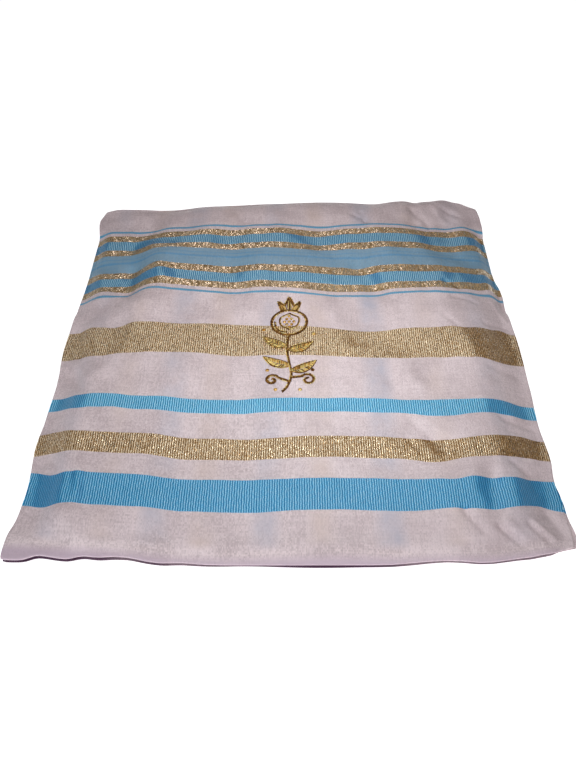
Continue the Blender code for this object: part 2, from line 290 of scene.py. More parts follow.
# Columns: name, place, size, power in watts, colour
LAMPS = (
    ("near_lamp", (0.034, -0.038, 0.20), 0.08, 0.18, (0.92, 1.0, 1.0)),
    ("middle_lamp", (0.02, 0.02, 0.27), 0.12, 0.12, (1.0, 0.82, 0.78)),
    ("front_lamp", (0.10, -0.70, 0.35), 0.30, 1.35, (1.0, 0.93, 0.95)),
    ("left_lamp", (-0.60, -0.50, 0.60), 0.40, 2.4, (0.93, 0.97, 1.0)),
    ("far_lamp", (0.02, 0.90, 0.65), 0.22, 1.05, (1.0, 0.84, 0.83)),
)
ROOM_BRIGHTNESS = 0.05
TABLE_GLOW = 0.82
TABLE_SIZE = 8.0
TABLE_GAP = 0.2 * MM  # between the lowest layer and the table


# ---------------- small helpers

def softened(values, passes, axis=0, edge="edge"):
    """The values averaged with their neighbours along one axis, several times over."""
    padding = [(0, 0)] * values.ndim
    padding[axis] = (1, 1)
    for _ in range(passes):
        padded = np.moveaxis(np.pad(values, padding, mode=edge), axis, 0)
        blend = 0.25 * padded[:-2] + 0.5 * padded[1:-1] + 0.25 * padded[2:]
        values = np.moveaxis(blend, 0, axis)
    return values


def ease(share):
    """0 to 1, level at both ends."""
    share = np.clip(share, 0.0, 1.0)
    return share * share * (3.0 - 2.0 * share)


def bank(x, y, start_x, start_y, end_x, end_y, half_width):
    """1 along a line, and softly down to 0 away from it."""
    run_x, run_y = end_x - start_x, end_y - start_y
    share = ((x - start_x) * run_x + (y - start_y) * run_y) / (run_x**2 + run_y**2)
    share = np.clip(share, 0.0, 1.0)
    away = np.hypot(x - start_x - share * run_x, y - start_y - share * run_y)
    return np.exp(-((away / half_width) ** 2))


def distances(line):
    """How far along a line of points each of them lies."""
    return np.concatenate([[0.0], np.cumsum(np.hypot(*np.diff(line, axis=0).T))])


def evenly(line, count):
    """Points at equal steps along a line of points."""
    reached = distances(line)
    steps = np.linspace(0.0, reached[-1], count)
    return np.stack([np.interp(steps, reached, line[:, k]) for k in (0, 1)], axis=1)


def wander(x, y, length_x, length_y, layer):
    """Soft unevenness between about -1 and 1, another one for each layer of the noise."""
    flat = zip((x / length_x).ravel(), (y / length_y).ravel())
    heights = [noise.noise(Vector((a, b, layer))) for a, b in flat]
    return np.array(heights).reshape(x.shape)


# ---------------- the packet's form

def merged(node):
    """A copy of a solid's mesh with its loose triangles joined."""
    bm = bmesh.new()
    bm.from_mesh(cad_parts[node].data)
    bmesh.ops.remove_doubles(bm, verts=bm.verts, dist=MERGE)
    bm.normal_update()
    return bm


def outline(bm):
    """The solid's points where faces that look up meet faces that look down, in order round it."""
    found = set()
    for edge in bm.edges:
        looks = [face.normal.z for face in edge.link_faces]
        if min(looks) < 0 < max(looks):
            found.update(edge.verts)
    points = np.array([vert.co[:2] for vert in found])
    return points[np.argsort(np.arctan2(points[:, 1], points[:, 0]))]


def side(points, corner_from, corner_to, cells):
    """Points at equal steps along the outline between two of its corners."""
    first = np.argmax(points @ np.array(corner_from))
    last = np.argmax(points @ np.array(corner_to))
    return evenly(np.roll(points, -first, axis=0)[:(last - first) % len(points) + 1], cells + 1)


def plan_between(front, right, back, left):
    """Points over the packet between its four sides, as arrays of x and y by share along and across."""
    s = np.linspace(0.0, 1.0, len(front))[None, :, None]
    t = np.linspace(0.0, 1.0, len(left))[:, None, None]
    between_ends = (1 - t) * front[None] + t * back[None]
    between_sides = (1 - s) * left[:, None] + s * right[:, None]
    corners = (1 - t) * ((1 - s) * front[0] + s * front[-1]) + t * ((1 - s) * back[0] + s * back[-1])
    return between_ends + between_sides - corners


def packet_form():
    """x, y and z of the outer layer's upper face, by share along (rows) and across (columns)."""
    bm = merged("outer_layer")
    rim = outline(bm)
    corners = ((-1, -1), (1, -1), (1, 1), (-1, 1), (-1, -1))
    cells = (ACROSS_CELLS, ALONG_CELLS, ACROSS_CELLS, ALONG_CELLS)
    sides = [side(rim, *ends) for ends in zip(corners, corners[1:], cells)]
    loop = softened(np.concatenate([run[:-1] for run in sides]), OUTLINE_SOFTENING, edge="wrap")
    loop = np.concatenate([loop, loop[:1]])
    starts = np.cumsum((0, *cells))
    front, right, back, left = [loop[a:b + 1] for a, b in zip(starts, starts[1:])]
    for notch_x, reach, distance in FRONT_NOTCHES:
        front[:, 1] += distance * MM * np.exp(-((front[:, 0] / MM - notch_x) / reach) ** 2)
    plan = plan_between(front, right, back[::-1], left[::-1])
    x, y = plan[..., 0], plan[..., 1]
    tree = BVHTree.FromBMesh(bm)
    bm.free()
    above = cad_box[1][2] + HEADROOM
    inner = [
        [tree.ray_cast(Vector((a, b, above)), Vector((0, 0, -1)))[0].z for a, b in zip(row_x, row_y)]
        for row_x, row_y in zip(x[1:-1, 1:-1], y[1:-1, 1:-1])
    ]
    z = np.pad(np.array(inner), 1, mode="edge")
    for axis in (0, 1):
        z = softened(z, FORM_SOFTENING, axis)
    return x, y, z


def from_edges(x, y):
    """How far each point of the form lies from the nearest edge of the packet."""
    across = np.minimum(x - x[:, :1], x[:, -1:] - x)
    along = np.minimum(y - y[:1], y[-1:] - y)
    return np.minimum(across, along)


def banked(x, y, table):
    """The height that a table of ridges and troughs adds at each place."""
    height = np.zeros_like(x)
    for row in table:
        line = np.array(row) * MM
        height += line[-1] * bank(x, y, *line[:-1])
    return height


def creased(x, y, z):
    """The form's height with its broad folds, fine creases and low unevenness. They are lower where the
    packet is thin, and the fine ones die away at its edges."""
    fine = banked(x, y, FINE_CREASES)
    for number, row in enumerate(UNEVENNESS):
        length_x, length_y, height = np.array(row) * MM
        fine += height * wander(x, y, length_x, length_y, UNEVENNESS_STEP * number)
    fine *= ease(CREASE_START + from_edges(x, y) / CREASE_FADE)
    return z + (banked(x, y, BROAD_FOLDS) + fine) * np.clip(z / FULL_HEIGHT, LEAST_HEIGHT, 1.0)


def read_at(grid, across, along):
    """A grid of values read at shares across and along, between its points."""
    rows, columns = grid.shape
    # just short of the last point, so that there is always a next one
    column = np.clip(across * (columns - 1), 0, columns - 1.0001)
    row = np.clip(along * (rows - 1), 0, rows - 1.0001)
    i, j = column.astype(int), row.astype(int)
    a, b = column - i, row - j
    lower = (1 - a) * grid[j, i] + a * grid[j, i + 1]
    upper = (1 - a) * grid[j + 1, i] + a * grid[j + 1, i + 1]
    return (1 - b) * lower + b * upper


# ---------------- sheets

def blank_sheet(name, across_cells, along_cells):
    """A closed sheet one unit square and deep. Each point's x, y and z are its shares across and along and
    its depth, from 0 at the upper face down to -1, with rows of points round the edge."""
    bpy.ops.object.select_all(action="DESELECT")
    lower_size = 1.0 - 2.0 * UNDERSIDE_INSET
    bpy.ops.mesh.primitive_grid_add(
        x_subdivisions=across_cells // UNDERSIDE_COARSER, y_subdivisions=along_cells // UNDERSIDE_COARSER,
        size=lower_size, location=(0.5, 0.5, -1.0))
    lower = bpy.context.active_object
    bpy.ops.mesh.primitive_grid_add(
        x_subdivisions=across_cells, y_subdivisions=along_cells, size=1.0, location=(0.5, 0.5, 0.0))
    blank = bpy.context.active_object
    blank.name = name
    lower.select_set(True)
    bpy.ops.object.transform_apply(location=True, rotation=False, scale=False)
    bpy.ops.object.join()
    bpy.ops.object.mode_set(mode="EDIT")
    bpy.ops.mesh.select_mode(type="EDGE")
    select_open_edges(blank, at_height=0.0)
    for _ in range(EDGE_ROWS):
        bpy.ops.mesh.extrude_edges_move(TRANSFORM_OT_translate={"value": (0.0, 0.0, -1.0 / EDGE_ROWS)})
    select_open_edges(blank, at_height=-1.0)
    bpy.ops.mesh.fill(use_beauty=True)
    bpy.ops.mesh.select_all(action="SELECT")
    bpy.ops.mesh.quads_convert_to_tris()
    bpy.ops.mesh.normals_make_consistent(inside=False)
    bpy.ops.object.mode_set(mode="OBJECT")
    return blank


def select_open_edges(sheet, at_height):
    """Selects the sheet's open edges at one height, in edit mode."""
    bpy.ops.mesh.select_all(action="DESELECT")
    bm = bmesh.from_edit_mesh(sheet.data)
    for edge in bm.edges:
        level = all(abs(vert.co.z - at_height) < 1e-4 for vert in edge.verts)
        edge.select_set(edge.is_boundary and level)
    bmesh.update_edit_mesh(sheet.data)


def points_of(mesh):
    points = np.empty(len(mesh.vertices) * 3)
    mesh.vertices.foreach_get("co", points)
    return points.reshape(-1, 3)


def lay_sheet(sheet, form, cloth_map, turned, under, over, setbacks):
    """Lays a blank sheet on the form. under and over give the height of its lower and upper face from the
    form's height at a point, and setbacks its edges' distances in from the form's, by side."""
    across, along, depth = points_of(sheet.data).T
    x, y, z = (read_at(values, across, along) for values in form)
    low, high = under(z), over(z)
    thickness = high - low
    bulge = LIP * thickness
    roundness = np.sqrt(np.clip(1.0 - (2.0 * depth + 1.0) ** 2, 0.0, 1.0))
    width, length = np.ptp(form[0]), np.ptp(form[1])
    fronts, rights, backs, lefts = setbacks(x, y)
    push_x = np.zeros_like(x)
    push_y = np.zeros_like(x)
    for push, sign, away, back_by in (
        (push_x, 1, across * width, lefts), (push_x, -1, (1 - across) * width, rights),
        (push_y, 1, along * length, fronts), (push_y, -1, (1 - along) * length, backs),
    ):
        on_edge = away < 1e-6
        fade = ease(1.0 - away / SETBACK_FADE)
        push += sign * ((back_by + bulge) * fade - on_edge * bulge * roundness)
    height = np.maximum(low + (depth + 1.0) * thickness, 0.0)
    places = np.stack([x + push_x, y + push_y, height], axis=1)
    sheet.data.vertices.foreach_set("co", places.ravel())
    sheet.data.update()
    sheet.data.shade_smooth()
    # the shares of painted shade by slope, kept on the sheet's points for the cloth's material
    for name, shares in turned.items():
        values = sheet.data.attributes.new(name, "FLOAT", "POINT").data
        values.foreach_set("value", read_at(shares, across, along))
    write_cloth_map(sheet, np.stack([read_at(values, across, along) for values in cloth_map], axis=1))


def write_cloth_map(sheet, places):
    """The UV map cloth, which holds each point's place on the flat cloth in metres."""
    mesh = sheet.data
    while mesh.uv_layers:
        mesh.uv_layers.remove(mesh.uv_layers[0])
    layer = mesh.uv_layers.new(name="cloth")
    corners = np.empty(len(mesh.loops), dtype=np.int32)
    mesh.loops.foreach_get("vertex_index", corners)
    layer.data.foreach_set("uv", places[corners].astype(np.float32).ravel())


def flat_places(x, y, z):
    """Where each point of the form lies on the flat cloth: across, measured from the middle over the
    slopes, and along, with the drift of the bands taken out."""
    steps = np.hypot(np.diff(x, axis=1), np.diff(z, axis=1))
    across = np.concatenate([np.zeros((len(x), 1)), np.cumsum(steps, axis=1)], axis=1)
    middle = x.shape[1] // 2
    across += (x - across)[:, middle:middle + 1]
    band_places = np.array([row[0] for row in BAND_DRIFT]) * MM
    drift_x = np.array(BAND_DRIFT_X) * MM
    drift = np.zeros_like(x)
    for row, hat in zip(BAND_DRIFT, np.eye(len(BAND_DRIFT))):
        drift += np.interp(y, band_places, hat) * np.interp(x, drift_x, np.array(row[1:]) * MM)
    for axis in (0, 1):
        drift = softened(drift, DRIFT_SOFTENING, axis)
    for row in BAND_PULLS:
        pull_x, pull_y, reach_x, reach_y, pull = np.array(row) * MM
        drift += pull * np.exp(-((x - pull_x) / reach_x) ** 2 - ((y - pull_y) / reach_y) ** 2)
    return across, y - drift


def painted_shade_by_slope(form):
    """How far each point of the form faces left, and how far right or to the back, each from 0 to 1. These
    shares set the painted shade and the fading painted shine on slopes turned from the lamps.
    """
    x, y, z = form
    rise = np.gradient(z, axis=1) / np.gradient(x, axis=1)
    fall_back = np.clip(-np.gradient(z, axis=0) / np.gradient(y, axis=0), 0.0, None)
    left = ease((rise - PAINTED_SHADE_START) / PAINTED_SHADE_RANGE)
    right = ease((np.clip(-rise, 0.0, None) + fall_back - PAINTED_SHADE_START) / PAINTED_SHADE_RANGE)
    return {"painted_shade_left": left, "painted_shade_right": right}


def even_setback(x, y):
    return 0.0, 0.0, 0.0, 0.0


def hidden_setbacks(sides, number):
    """How far in a hidden layer's four edges lie, as a function of the place."""
    front, right, back, left = np.array(sides) * MM
    seed = SETBACK_SEEDS[1] * number + SETBACK_SEEDS[0]

    def setbacks(x, y):
        wave = SETBACK_WAVE * wander(x, y, SETBACK_WAVELENGTH, SETBACK_WAVELENGTH, seed)
        ear = 0.0
        if number == len(HIDDEN_LAYERS) - 1:
            ear = (right + CORNER_EAR) * ease(1.0 - (y - cad_box[0][1]) / EAR_REACH)
        return front + wave, right + wave - ear, back + wave, left + wave

    return setbacks


# ---------------- node helpers

VECTOR_SOCKETS = ("Base", "Lean", "Normal")  # a group's other sockets hold numbers


def join(tree, value, entry):
    """Sets a node's input to a value, or joins it to another node's output."""
    value = getattr(value, "socket", value)
    if isinstance(value, bpy.types.NodeSocket):
        tree.links.new(value, entry)
    else:
        entry.default_value = value


def add_node(tree, kind, values=(), **settings):
    """A node with its settings, and with its inputs joined or set to values."""
    made = tree.nodes.new("ShaderNode" + kind)
    for key, setting in settings.items():
        setattr(made, key, setting)
    for key, value in dict(values).items():
        join(tree, value, made.inputs[key])
    return made


class Value:
    """A node's output. Arithmetic on one that holds a number adds Math nodes."""

    def __init__(self, socket):
        self.socket = socket
        self.tree = socket.id_data

    def math(self, operation, *others, clamp=False):
        values = enumerate((self, *others))
        return result(self.tree, "Math", values, operation=operation, use_clamp=clamp)

    def __add__(self, other):
        return self.math("ADD", other)

    def __sub__(self, other):
        return self.math("SUBTRACT", other)

    def __mul__(self, other):
        return self.math("MULTIPLY", other)

    def __truediv__(self, other):
        return self.math("DIVIDE", other)

    def __rsub__(self, other):
        return self * -1.0 + other

    def floor(self):
        return self.math("FLOOR")

    def larger(self, other):
        return self.math("MAXIMUM", other)

    def clamped(self):
        """Kept between 0 and 1."""
        return self.math("ADD", 0.0, clamp=True)

    def ramp(self, start, end):
        """0 up to start, 1 from end on, and even between them."""
        gain = 1.0 / (end - start)
        return self.math("MULTIPLY_ADD", gain, -start * gain, clamp=True)

    def sine(self):
        """A sine wave with one turn for each step of 1."""
        return (self * math.tau).math("SINE")


def result(tree, kind, values=(), output=0, **settings):
    """The output of a new node."""
    return Value(add_node(tree, kind, values, **settings).outputs[output])


def mixed(share, first, second):
    """Two colours mixed by a share."""
    return result(share.tree, "Mix", {0: share, 6: first, 7: second}, output=2, data_type="RGBA")


def attribute(tree, name):
    return result(tree, "Attribute", output="Fac", attribute_name=name)


def bump(height, strength, distance):
    """The surface's normal with a height laid on it."""
    return result(height.tree, "Bump", {"Height": height, "Strength": strength, "Distance": distance})


def map_place(tree, name, scale=1.0):
    """The two coordinates of a UV map, times a scale."""
    made = add_node(tree, "SeparateXYZ", {0: result(tree, "UVMap", uv_map=name)})
    return Value(made.outputs[0]) * scale, Value(made.outputs[1]) * scale


def place_of(across, along, layer=0.0):
    return result(across.tree, "CombineXYZ", {0: across, 1: along, 2: layer})


def soft_noise(across, along, scale, detail):
    """Soft noise at a place on the cloth."""
    values = {"Vector": place_of(across, along), "Scale": scale, "Detail": detail}
    return result(across.tree, "TexNoise", values)


def random_cells(column, row, layer=None):
    """A random number and a random vector for each cell of a grid, others in each layer."""
    cell = place_of(column.floor(), row.floor(), layer or 0.0)
    dimensions = "3D" if layer else "2D"
    made = add_node(column.tree, "TexWhiteNoise", {"Vector": cell}, noise_dimensions=dimensions)
    return Value(made.outputs["Value"]), Value(made.outputs["Color"])


def new_group(name, inputs, outputs):
    """A node group. Returns its tree, a function that joins values to its outputs, and its inputs."""
    tree = bpy.data.node_groups.new(name, "ShaderNodeTree")
    for in_out, sockets in (("INPUT", inputs), ("OUTPUT", outputs)):
        for socket in sockets:
            kind = "NodeSocketVector" if socket in VECTOR_SOCKETS else "NodeSocketFloat"
            tree.interface.new_socket(socket, in_out=in_out, socket_type=kind)
    start = tree.nodes.new("NodeGroupInput")
    end = tree.nodes.new("NodeGroupOutput")

    def put_out(**values):
        for socket, value in values.items():
            join(tree, value, end.inputs[socket])

    return tree, put_out, *[Value(start.outputs[socket]) for socket in inputs]


def use_group(tree, group, **values):
    """The outputs, by name, of a group placed in a tree. Inputs are given by name, with _ for a space."""
    named = {key.replace("_", " "): value for key, value in values.items()}
    made = add_node(tree, "Group", named, node_tree=group)
    return {output.name: Value(output) for output in made.outputs}


def new_material(name):
    """A new material and its shader."""
    material = bpy.data.materials.new(name)
    material.use_nodes = True
    return material, material.node_tree.nodes["Principled BSDF"]


# ---------------- node groups of the weave

def band_group():
    """Mask of one band: 1 inside it, with a soft edge that the ribs comb in and out."""
    tree, put_out, place, middle, width, softness, comb = new_group(
        "woven_band", ("Place", "Middle", "Width", "Softness", "Comb"), ("Mask",))
    away = (place - middle).math("ABSOLUTE")
    inside = width * 0.5 - away + comb
    put_out(Mask=(inside / softness + 0.5).clamped())
    return tree


def rib_group():
    """Ribs that run along the cloth: Crest is 1 on a rib's top, and Tick a finer step along each rib."""
    tree, put_out, across, along, pitch = new_group(
        "rib_weave", ("Across", "Along", "Pitch"), ("Crest", "Tick"))
    strayed = across + (soft_noise(across, along, 0.35, 2.0) - 0.5) * RIB_STRAY
    turns = strayed / pitch
    steps = along / pitch + turns.floor() * 0.5
    put_out(Crest=turns.sine() * 0.5 + 0.5, Tick=steps.sine() * 0.5 + 0.5)
    return tree


def glint_group():
    """Flat metal threads: Shine is a random number for each short float, and Fine one for each half of it.
    Lean is a random vector for each half, from 0 to 1, that tells how the thread is turned there."""
    tree, put_out, across, along, float_width, float_length = new_group(
        "thread_glints", ("Across", "Along", "Float Width", "Float Length"), ("Shine", "Fine", "Lean"))
    column = across / float_width
    row = along / float_length + column.floor() * 0.5
    shine, _ = random_cells(column, row, layer=1.0)
    fine, lean = random_cells(column * 2.0, row * 2.0, layer=2.0)
    put_out(Shine=shine, Fine=fine, Lean=lean)
    return tree


def ground_group():
    """The plain weave: Thread is its height, Streak how uneven its threads are, and Patch a broad mottle.
    Grain and Lean are a random number and a random vector for each small float, from 0 to 1."""
    tree, put_out, across, along, pitch = new_group(
        "plain_weave", ("Across", "Along", "Pitch"), ("Thread", "Streak", "Patch", "Grain", "Lean"))
    thread = (across / pitch).sine() * (along / pitch).sine() * 0.5 + 0.5
    streaks = [soft_noise(across * wide, along * long, 1.0, 3.0) for wide, long in STREAK_SCALES]
    patch = soft_noise(across, along, 0.045, 4.0)
    grain, lean = random_cells(across / (pitch * 2.0), along / (pitch * 3.0))
    put_out(Thread=thread, Streak=(streaks[0] + streaks[1]) * 0.5, Patch=patch, Grain=grain, Lean=lean)
    return tree


def facet_group():
    """Leans a normal by Lean, a vector of random values from 0 to 1, times Amount."""
    tree, put_out, amount, base, lean = new_group("thread_facets", ("Amount", "Base", "Lean"), ("Normal",))

    def vectors(operation, first, values):
        return result(tree, "VectorMath", {0: first, **values}, operation=operation)

    centred = vectors("SUBTRACT", lean, {1: (0.5, 0.5, 0.5)})
    leaned = vectors("ADD", base, {1: vectors("SCALE", centred, {3: amount})})
    put_out(Normal=vectors("NORMALIZE", leaned, {}))
    return tree


# ---------------- the cloth's material

class Weave:
    """The threads at each place of the cloth, as values in a material's node tree."""

    def __init__(self, tree, groups):
        self.tree, self.groups = tree, groups
        self.across, self.along = map_place(tree, "cloth", scale=1.0 / MM)
        place = {"Across": self.across, "Along": self.along}
        ribs = self.group("rib", **place, Pitch=RIB_PITCH)
        self.crest, self.tick = ribs["Crest"], ribs["Tick"]
        ground = self.group("ground", **place, Pitch=THREAD_PITCH)
        self.thread, self.streak, self.patch, self.grain, self.lean = (
            ground[name] for name in ("Thread", "Streak", "Patch", "Grain", "Lean"))
        self.pale = self.group("glint", **place, Float_Width=RIB_PITCH / 2, Float_Length=PALE_FLOAT)
        width, length = BRIGHT_FLOAT
        self.bright = self.group("glint", **place, Float_Width=width, Float_Length=length)
        self.comb = self.crest * BAND_COMB - BAND_COMB / 2
        # painted shade: slopes that face to a side or to the back are painted darker, and their painted
        # shine fades
        self.painted_shade_left = attribute(tree, "painted_shade_left")
        self.painted_shade_right = attribute(tree, "painted_shade_right")
        self.turned = self.painted_shade_left.larger(self.painted_shade_right)
        self.painted_shine = 1.0 - self.turned * 0.7

    def group(self, name, **values):
        return use_group(self.tree, self.groups[name], **values)

    def band(self, place, middle, width, softness, comb=0.0):
        """The mask of one band."""
        made = self.group("band", Place=place, Middle=middle, Width=width, Softness=softness, Comb=comb)
        return made["Mask"]

    def bands(self, table, softness=BAND_SOFTNESS, combed=True):
        """The mask of all the bands in a table of their middles and widths."""
        comb = self.comb if combed else 0.0
        return reduce(Value.larger, [self.band(self.along, *row, softness, comb) for row in table])


def ground_colour(weave, outside):
    """The white cloth with its mottle and a painted shade on slopes turned from the lamps. On the outside
    the bands of the turned layers show through it, and the ground behind the front fold is dulled, partly
    as painted shade that leaves the fold lighter like a painted highlight. Along its front edge lies a
    painted shade of the fold, lilac outside and plum inside."""
    # the threads' mottle, less a painted shade on slopes turned from the lamps
    mottle = weave.streak * 2.2 + weave.grain + weave.patch * 2.4 - weave.turned * 0.15 - 2.2
    colour = mixed(mottle.ramp(-0.1, 1.15), GROUND_SHADE, GROUND)
    if outside:
        # behind the front fold the ground is dulled, partly by the turned layers showing through and partly
        # as painted shade, so that the fold looks lit like a painted highlight
        behind = weave.along.ramp(SHADOWS_END, SHADOWS_END + SHADOWS_END_FADE)
        colour = mixed(behind * VEIL_AND_PAINTED_SHADE, colour, VEILED_AND_PAINTED_SHADE)
        strength = weave.patch.ramp(0.292, 0.708) * behind
        for table, shade in ((BLUE_SHADOWS, BLUE_SHADOW), (BROWN_SHADOWS, BROWN_SHADOW)):
            for middle, width, share in table:
                shadow = weave.band(weave.across, middle, width, SHADOW_SOFTNESS)
                colour = mixed(shadow * share * strength, colour, shade)
    front_shade = weave.band(weave.along, *FRONT_SHADE)
    return mixed(front_shade, colour, LILAC_SHADE if outside else PLUM_SHADE)


def with_satin_band(weave, colour):
    """The light blue band of satin, with its finer lines."""
    lines = weave.bands(SATIN_LINES, softness=1.2, combed=False)
    deep = (weave.streak * 1.2 + lines * 0.55 - 0.45).clamped()
    return mixed(weave.bands((SATIN_BAND,), combed=False), colour, mixed(deep, SATIN_BLUE, SATIN_BLUE_DEEP))


def with_blue_bands(weave, colour):
    """The fine blue lines and the ribbed blue bands, with painted highlights along the ribs and painted
    shade between them and on slopes turned from the lamps. Returns the colour and the mask of all of them.
    """
    blue_all = weave.bands(FINE_BLUE_LINES, softness=0.7)
    colour = mixed(blue_all, colour, LINE_BLUE)
    # painted light: highlight strokes on the rib tops that fade on slopes turned from the lamps, and
    # painted shade between the ribs and on those slopes
    ridge = weave.crest * (weave.tick * 0.16 + 0.84)
    painted_rib_highlight = (ridge + weave.grain * 0.16).ramp(0.679, 1.036) * weave.painted_shine
    lit = (ridge * (weave.painted_shine * 1.8 + 0.1)).clamped()
    for middle, width, blue, light in BLUE_BANDS:
        mask = weave.bands(((middle, width),))
        band_colour = mixed(painted_rib_highlight * light, mixed(lit, BLUE_PAINTED_SHADE, blue), BLUE_PAINTED_HIGHLIGHT)
        colour = mixed(mask, colour, band_colour)
        blue_all = blue_all.larger(mask)
    return colour, blue_all


def pale_gold_colour(weave):
    """The wide bands' pale gold, ribbed and evenly flecked. Its lightest flecks are partly painted glints,
    and the front band and slopes turned from the lamps are painted darker as shade.
    """
    tone = (weave.pale["Fine"] * 0.30 + weave.crest * 0.46 + weave.pale["Shine"] * 0.26).clamped()
    # painted shade: the front pale band a little darker, and slopes turned from the lamps darker
    tone = tone - weave.bands(PALE_GOLD_BANDS[:1]) * 0.05
    tone = (tone - weave.painted_shade_left * 0.06 - weave.painted_shade_right * 0.24).clamped()
    colour = mixed(tone.ramp(0.286, 0.643), GOLD_DARK, GOLD)
    return mixed(tone.ramp(0.46, 0.66), colour, LIGHT_GOLD_AND_PAINTED_GLINT)


def bright_gold_colour(weave):
    """The narrow bands' old gold with bright specks of light gold that are partly painted glints, fewer on
    slopes turned from the lamps. Returns the colour and the specks' mask.
    """
    shine = weave.bright["Shine"]
    painted_glint_speck = (weave.bright["Fine"].ramp(0.45, 0.617) * (shine * 0.7 + 0.4)).clamped()
    # the painted glints fade on slopes turned from the lamps
    painted_glint_speck = painted_glint_speck * (1.0 - weave.turned * 0.25)
    return mixed(painted_glint_speck, mixed(shine, OLD_GOLD_DARK, OLD_GOLD), LIGHT_GOLD_AND_PAINTED_GLINT), painted_glint_speck


def weave_bump(weave, ribbed, pale_gold):
    """The normal of the weave, with its ribs and floats."""
    rib_height = (weave.crest + weave.tick * 0.25) * ribbed
    float_height = weave.pale["Fine"] * pale_gold * 0.35
    thread_height = weave.thread * 0.16 + weave.streak * 0.35 + weave.grain * 0.14
    return bump(rib_height + float_height + thread_height, BUMP_STRENGTH, WEAVE_DEPTH)


def woven_cloth(name, groups, outside=True):
    """The shawl's cloth, with its bands woven in."""
    material, shader = new_material(name)
    weave = Weave(material.node_tree, groups)
    pale_gold = weave.bands(PALE_GOLD_BANDS)
    bright_gold = weave.bands(BRIGHT_GOLD_BANDS)
    bright_colour, painted_glint_speck = bright_gold_colour(weave)
    colour = with_satin_band(weave, ground_colour(weave, outside))
    colour, blue_all = with_blue_bands(weave, colour)
    colour = mixed(pale_gold, colour, pale_gold_colour(weave))
    colour = mixed(bright_gold, colour, bright_colour)

    # every float is turned a little its own way, the gold ones most. Those that mirror a lamp lie flatter
    mirrors = painted_glint_speck * bright_gold + weave.pale["Shine"].ramp(0.775, 0.9) * pale_gold
    lean = (bright_gold * 0.7 + pale_gold * 0.5) * (1.0 - mirrors * 0.55)
    normal = weave_bump(weave, blue_all.larger(pale_gold), pale_gold)
    normal = weave.group("facet", Base=normal, Lean=weave.lean, Amount=GROUND_LEAN)["Normal"]
    normal = weave.group("facet", Base=normal, Lean=weave.bright["Lean"], Amount=lean)["Normal"]

    metal = (bright_gold * 0.25 + pale_gold * 0.15 + mirrors * 0.6).clamped()
    roughness = weave.patch * 0.16 + 0.36 - pale_gold.larger(bright_gold) * 0.08 - mirrors * 0.16
    finish = {"Base Color": colour, "Normal": normal, "Metallic": metal, "Roughness": roughness}
    for entry, value in finish.items():
        join(weave.tree, value, shader.inputs[entry])
    shader.inputs["Specular IOR Level"].default_value = 0.5
    return material


def gold_thread():
    """Metal embroidery thread, each stitch with its own tone and a twist of finer strands. Its darkest tone
    is painted shade, and its lightest a light gold that is also painted highlight.
    """
    material, shader = new_material("gold_thread")
    tree = material.node_tree
    around, along = map_place(tree, "stitch")
    strand = (along * 7.0 + around * 3.0).sine() * 0.5 + 0.5
    lit = (strand * 0.16 + attribute(tree, "tone") - 0.06).clamped()
    colour = mixed(lit.ramp(0.0, 0.5), THREAD_PAINTED_SHADE, THREAD_GOLD)
    colour = mixed(lit.ramp(0.5, 1.0), colour, THREAD_LIGHT_AND_PAINTED_HIGHLIGHT)
    join(tree, colour, shader.inputs["Base Color"])
    join(tree, bump(strand, STRAND_STRENGTH, STRAND_DEPTH), shader.inputs["Normal"])
    shader.inputs["Metallic"].default_value = 0.7
    shader.inputs["Roughness"].default_value = 0.28
    return material


# ---------------- gold stitching

# All lengths of this part are in millimetres
MOTIF_PLACE = (0.0, -4.5)
LINE_WIDTH = 1.55
FINE_LINE = 0.9
STITCH_STEP = 0.48
STITCH_RADIUS = 0.27
STITCH_SLANT = math.radians(50)
STITCH_FLATNESS = 0.8  # a stitch's height as a share of its width
STITCH_LIFT = 0.16
LIFT_SPREAD = (-0.03, 0.05)
HEADING_SPREAD = 0.08  # radians
HIGHLIGHT_STITCH = (1.0, 0.33)  # length and radius of the painted highlight stitches along a line's left edge
HIGHLIGHT_STITCH_PLACE = 0.55  # how far they lie from the line's middle, as a share of its width
HIGHLIGHT_STITCH_TURN = 0.3  # radians from the line's direction
FILL_STEP = 0.52
FILL_EXTRA = 0.2
LEAF_LINE = 0.8
LEAF_SLANT = 3  # a leaf's stitches run this many steps forwards from its vein to its edge
TENDRIL_RADIUS, TENDRIL_TURNS = 4.2, 1.1
KNOT_WIDTH = 0.30  # radius of a knot's stitches, as a share of their length
CURVE_STEPS = 16
# tones of the stitches: a painted shade, the thread's gold, and a light gold that also stands for painted
# highlights
PAINTED_SHADE_TONE, GOLD_TONE, BRIGHT_AND_PAINTED_HIGHLIGHT_TONE = 0.06, 0.45, 0.84
TONE_SPREAD = 0.42
LINE_SPREAD = 0.14
PAINTED_SHADE_SHARE = 0.22  # of the bright stitches, those given the painted shade instead
SEWN_FROM = 0.05  # metres above the table from which each stitch is let down on the cloth


def smooth_path(points, closed=False):
    """Points at equal steps on a smooth curve through the given ones."""
    given = np.array(points, float)
    if closed:
        given = np.concatenate([given[-1:], given, given[:2]])
    else:
        given = np.concatenate([2 * given[:1] - given[1:2], given, 2 * given[-1:] - given[-2:-1]])
    shares = np.linspace(0.0, 1.0, CURVE_STEPS, endpoint=False)[:, None]
    curve = []
    for before, start, end, after in zip(given, given[1:], given[2:], given[3:]):
        leaving, arriving = (end - before) / 2, (after - start) / 2
        bend = 2 * start - 2 * end + leaving + arriving
        swing = 3 * end - 3 * start - 2 * leaving - arriving
        curve.append(start + shares * (leaving + shares * (swing + shares * bend)))
    curve = np.concatenate(curve + [given[-2:-1]])
    return evenly(curve, max(2, round(distances(curve)[-1] / STITCH_STEP)))


